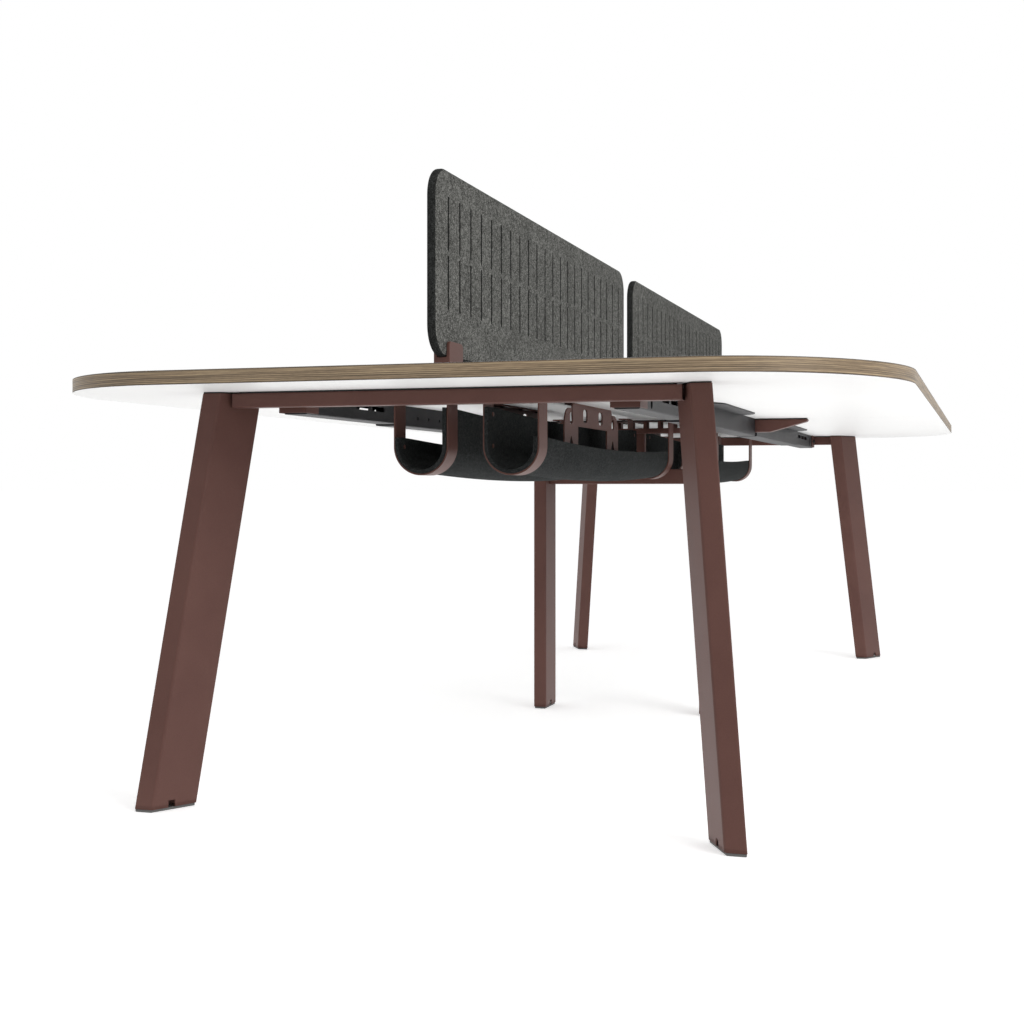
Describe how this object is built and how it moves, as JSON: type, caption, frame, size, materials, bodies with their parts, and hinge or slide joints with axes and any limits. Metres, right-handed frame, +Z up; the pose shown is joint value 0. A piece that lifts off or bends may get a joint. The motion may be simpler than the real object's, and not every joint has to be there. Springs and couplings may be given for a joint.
{
  "type": "bench desk",
  "caption": "Double-sided bench desk with a soft-cornered plywood top on splayed flat steel legs, with felt screens and felt cable trays.",
  "frame": {"origin": "on the floor, below the middle of the desktop", "axes": "+X along the desk's length, +Y across it, +Z up"},
  "size_m": [3, 1.516, 1.089],
  "materials": {
    "plywood_core": "oiled layered plywood edge",
    "white_laminate": "smooth matt white",
    "brown_frame": "fine satin powder coat",
    "black_rail": "black satin coat",
    "screen_felt": "pressed felt, mottled grey",
    "tray_felt": "pressed felt, dark grey",
    "grey_foot": "moulded grey plastic"
  },
  "bodies": {
    "frame": {"desktop_core_a": "plywood_core", "desktop_upper_laminate_a": "white_laminate", "desktop_lower_laminate_a": "white_laminate", "end_crossbeam_a": "brown_frame", "screen_clip_outer_a": "brown_frame", "screen_clip_inner_a": "brown_frame", "end_leg_a_left": "brown_frame", "rail_a_left": "black_rail", "rail_sleeve_a_left": "black_rail", "rail_bracket_a_left": "brown_frame", "cable_tray_a_left": "tray_felt", "tray_strap_outer_a_left": "brown_frame", "tray_strap_inner_a_left": "brown_frame", "cable_plate_a_left": "brown_frame", "end_leg_a_right": "brown_frame", "rail_a_right": "black_rail", "rail_sleeve_a_right": "black_rail", "rail_bracket_a_right": "brown_frame", "cable_tray_a_right": "tray_felt", "tray_strap_outer_a_right": "brown_frame", "tray_strap_inner_a_right": "brown_frame", "cable_plate_a_right": "brown_frame", "desktop_core_b": "plywood_core", "desktop_upper_laminate_b": "white_laminate", "desktop_lower_laminate_b": "white_laminate", "end_crossbeam_b": "brown_frame", "screen_clip_outer_b": "brown_frame", "screen_clip_inner_b": "brown_frame", "end_leg_b_left": "brown_frame", "rail_b_left": "black_rail", "rail_sleeve_b_left": "black_rail", "rail_bracket_b_left": "brown_frame", "cable_tray_b_left": "tray_felt", "tray_strap_outer_b_left": "brown_frame", "tray_strap_inner_b_left": "brown_frame", "cable_plate_b_left": "brown_frame", "end_leg_b_right": "brown_frame", "rail_b_right": "black_rail", "rail_sleeve_b_right": "black_rail", "rail_bracket_b_right": "brown_frame", "cable_tray_b_right": "tray_felt", "tray_strap_outer_b_right": "brown_frame", "tray_strap_inner_b_right": "brown_frame", "cable_plate_b_right": "brown_frame", "middle_upper_crossbeam": "brown_frame", "middle_lower_crossbeam": "brown_frame", "middle_post_left": "brown_frame", "middle_riser_left": "brown_frame", "middle_post_right": "brown_frame", "middle_riser_right": "brown_frame"},
    "screen_a": {"screen_a": "screen_felt"},
    "foot_a_left": {"levelling_foot_a_left": "grey_foot"},
    "foot_a_right": {"levelling_foot_a_right": "grey_foot"},
    "screen_b": {"screen_b": "screen_felt"},
    "foot_b_left": {"levelling_foot_b_left": "grey_foot"},
    "foot_b_right": {"levelling_foot_b_right": "grey_foot"},
    "foot_middle_left": {"levelling_foot_middle_left": "grey_foot"},
    "foot_middle_right": {"levelling_foot_middle_right": "grey_foot"}
  },
  "joints": [
    {"name": "screen_a_lift", "type": "slide", "parent": "frame", "child": "screen_a", "axis": [0, 0, 1], "range_m": [0, 0.04]},
    {"name": "foot_a_left_level", "type": "slide", "parent": "frame", "child": "foot_a_left", "axis": [0, 0, -1], "range_m": [0, 0.008]},
    {"name": "foot_a_right_level", "type": "slide", "parent": "frame", "child": "foot_a_right", "axis": [0, 0, -1], "range_m": [0, 0.008]},
    {"name": "screen_b_lift", "type": "slide", "parent": "frame", "child": "screen_b", "axis": [0, 0, 1], "range_m": [0, 0.04]},
    {"name": "foot_b_left_level", "type": "slide", "parent": "frame", "child": "foot_b_left", "axis": [0, 0, -1], "range_m": [0, 0.008]},
    {"name": "foot_b_right_level", "type": "slide", "parent": "frame", "child": "foot_b_right", "axis": [0, 0, -1], "range_m": [0, 0.008]},
    {"name": "foot_middle_left_level", "type": "slide", "parent": "frame", "child": "foot_middle_left", "axis": [0, 0, -1], "range_m": [0, 0.008]},
    {"name": "foot_middle_right_level", "type": "slide", "parent": "frame", "child": "foot_middle_right", "axis": [0, 0, -1], "range_m": [0, 0.008]}
  ]
}
